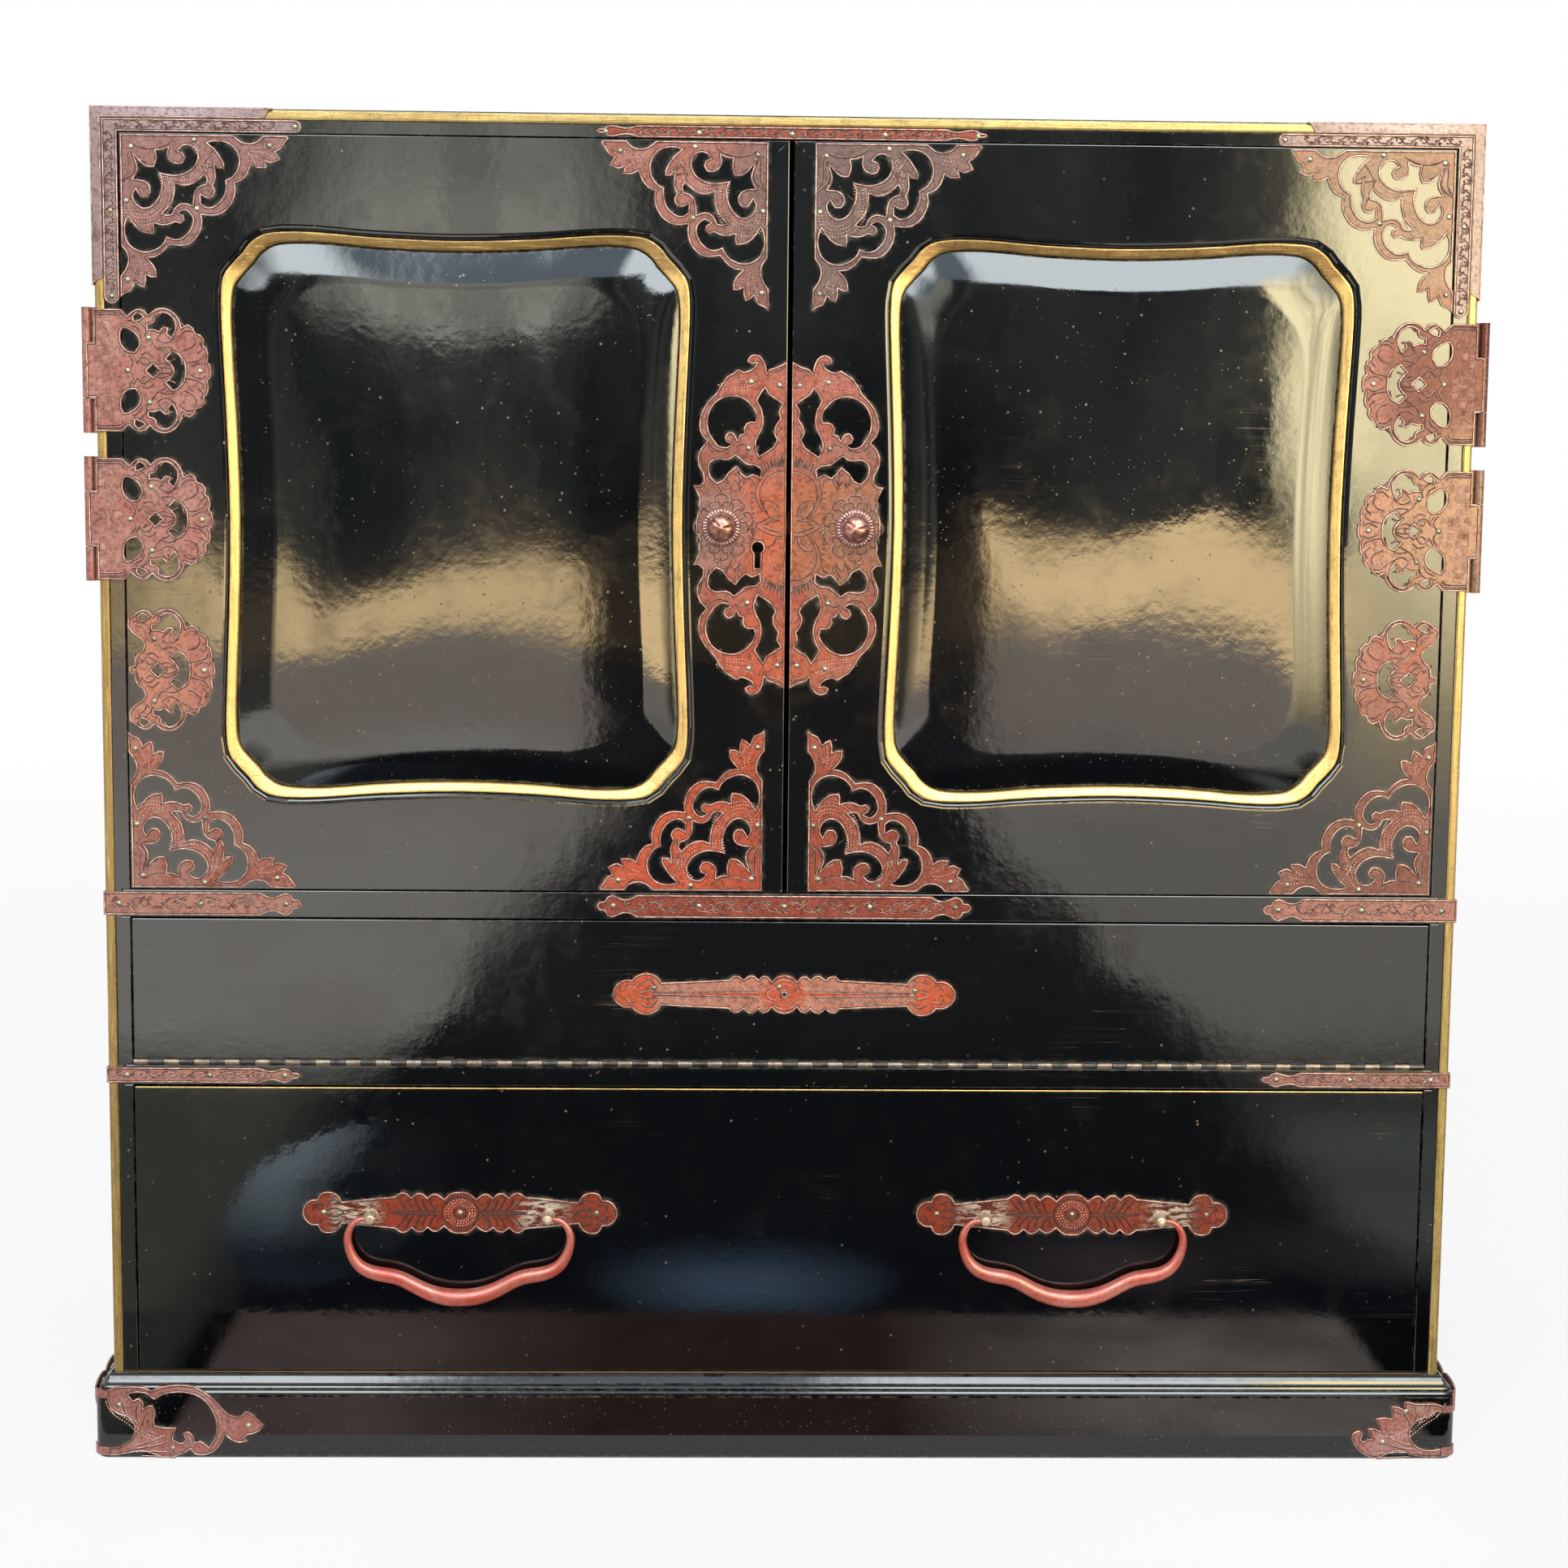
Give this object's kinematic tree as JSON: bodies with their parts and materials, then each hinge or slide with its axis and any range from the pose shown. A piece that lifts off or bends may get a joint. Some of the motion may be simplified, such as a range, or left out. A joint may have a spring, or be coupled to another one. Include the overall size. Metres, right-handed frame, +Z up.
{
  "type": "storage chest",
  "caption": "Low lacquered chest with panelled doors, a fall-front flap and a deep drawer on a moulded plinth, with pierced iron mounts and bail handles.",
  "frame": {"origin": "on the floor under the middle of the chest's bounding box", "axes": "+X to the right as seen from the front, +Y to the back, +Z up"},
  "size_m": [0.9058, 0.4354, 0.874],
  "materials": {
    "black_lacquer": "near-black glossy lacquer on wood, dusty and scratched",
    "bare_wood": "aged plain softwood",
    "gold_lacquer": "gold lacquer on wood, worn",
    "lacquered_iron": "engraved and punched iron, red-brown lacquer worn on the edges",
    "worn_iron": "iron, lacquer worn to a pale tone",
    "nail_metal": "dull brass nail heads",
    "plain_iron": "plain dark iron"
  },
  "bodies": {
    "case": {"case_left_side": "black_lacquer", "case_right_side": "black_lacquer", "case_top": "black_lacquer", "case_bottom": "bare_wood", "case_back": "bare_wood", "upper_rail_board": "black_lacquer", "lower_rail_board": "black_lacquer", "inner_shelf": "bare_wood", "gilt_edging": "gold_lacquer", "plinth_front": "black_lacquer", "plinth_sides_and_back": "black_lacquer", "plinth_mounts": "lacquered_iron", "top_corner_straps": "lacquered_iron", "top_edge_caps": "lacquered_iron", "rail_straps": "lacquered_iron", "door_hinge_case_leaves": "lacquered_iron", "door_hinge_pins": "plain_iron", "flap_hinge_case_leaf": "plain_iron", "flap_hinge_pin": "plain_iron", "stay_screws": "plain_iron", "case_nails": "nail_metal"},
    "left_door": {"left_door_stiles": "black_lacquer", "left_door_rails": "black_lacquer", "left_door_panel": "black_lacquer", "left_gilt_moulding": "gold_lacquer", "left_hinge_leaves": "lacquered_iron", "left_door_mounts": "lacquered_iron", "left_lock_plate": "lacquered_iron", "left_knob": "worn_iron", "left_door_nails": "nail_metal", "lock_case": "plain_iron"},
    "lock_bolt": {"lock_bolt": "plain_iron"},
    "right_door": {"right_door_stiles": "black_lacquer", "right_door_rails": "black_lacquer", "right_door_panel": "black_lacquer", "right_gilt_moulding": "gold_lacquer", "right_hinge_leaves": "lacquered_iron", "right_door_mounts": "lacquered_iron", "right_lock_plate": "lacquered_iron", "right_knob": "worn_iron", "right_door_nails": "nail_metal", "lock_keep": "plain_iron"},
    "flap": {"flap_board": "black_lacquer", "flap_hinge_flap_leaf": "plain_iron", "flap_plate": "lacquered_iron", "stay_brackets": "plain_iron", "flap_nails": "nail_metal"},
    "left_stay": {"left_flap_stay": "plain_iron"},
    "right_stay": {"right_flap_stay": "plain_iron"},
    "drawer": {"drawer_front": "black_lacquer", "drawer_sides": "bare_wood", "drawer_back": "bare_wood", "drawer_bottom": "bare_wood", "handle_plates": "lacquered_iron", "handle_posts": "worn_iron", "drawer_nails": "nail_metal"},
    "left_bail": {"left_bail": "lacquered_iron"},
    "right_bail": {"right_bail": "lacquered_iron"}
  },
  "joints": [
    {"name": "left_door_hinge", "type": "hinge", "parent": "case", "child": "left_door", "pos_m": [-0.4457, -0.20095, 0.6179], "axis": [0, 0, -1], "range_deg": [0, 180]},
    {"name": "right_door_hinge", "type": "hinge", "parent": "case", "child": "right_door", "pos_m": [0.4457, -0.20095, 0.6179], "axis": [0, 0, 1], "range_deg": [0, 180]},
    {"name": "lock_bolt_slide", "type": "slide", "parent": "left_door", "child": "lock_bolt", "axis": [1, 0, 0], "range_m": [0, 0.009]},
    {"name": "flap_hinge", "type": "hinge", "parent": "case", "child": "flap", "pos_m": [0, -0.20285, 0.264], "axis": [1, 0, 0], "range_deg": [0, 90]},
    {"name": "left_stay_pivot", "type": "hinge", "parent": "flap", "child": "left_stay", "pos_m": [-0.41975, -0.17785, 0.34524], "axis": [1, 0, 0], "range_deg": [-45, 0]},
    {"name": "right_stay_pivot", "type": "hinge", "parent": "flap", "child": "right_stay", "pos_m": [0.41975, -0.17785, 0.34524], "axis": [1, 0, 0], "range_deg": [-45, 0]},
    {"name": "drawer_slide", "type": "slide", "parent": "case", "child": "drawer", "axis": [0, -1, 0], "range_m": [0, 0.3]},
    {"name": "left_bail_swing", "type": "hinge", "parent": "drawer", "child": "left_bail", "pos_m": [-0.2113, -0.21125, 0.1617], "axis": [-1, 0, 0], "range_deg": [0, 150]},
    {"name": "right_bail_swing", "type": "hinge", "parent": "drawer", "child": "right_bail", "pos_m": [0.1924, -0.21125, 0.1617], "axis": [-1, 0, 0], "range_deg": [0, 150]}
  ],
  "couplings": [
    {"joint": "left_stay_pivot", "follows": "flap_hinge", "ratio": -0.5},
    {"joint": "right_stay_pivot", "follows": "flap_hinge", "ratio": -0.5}
  ]
}
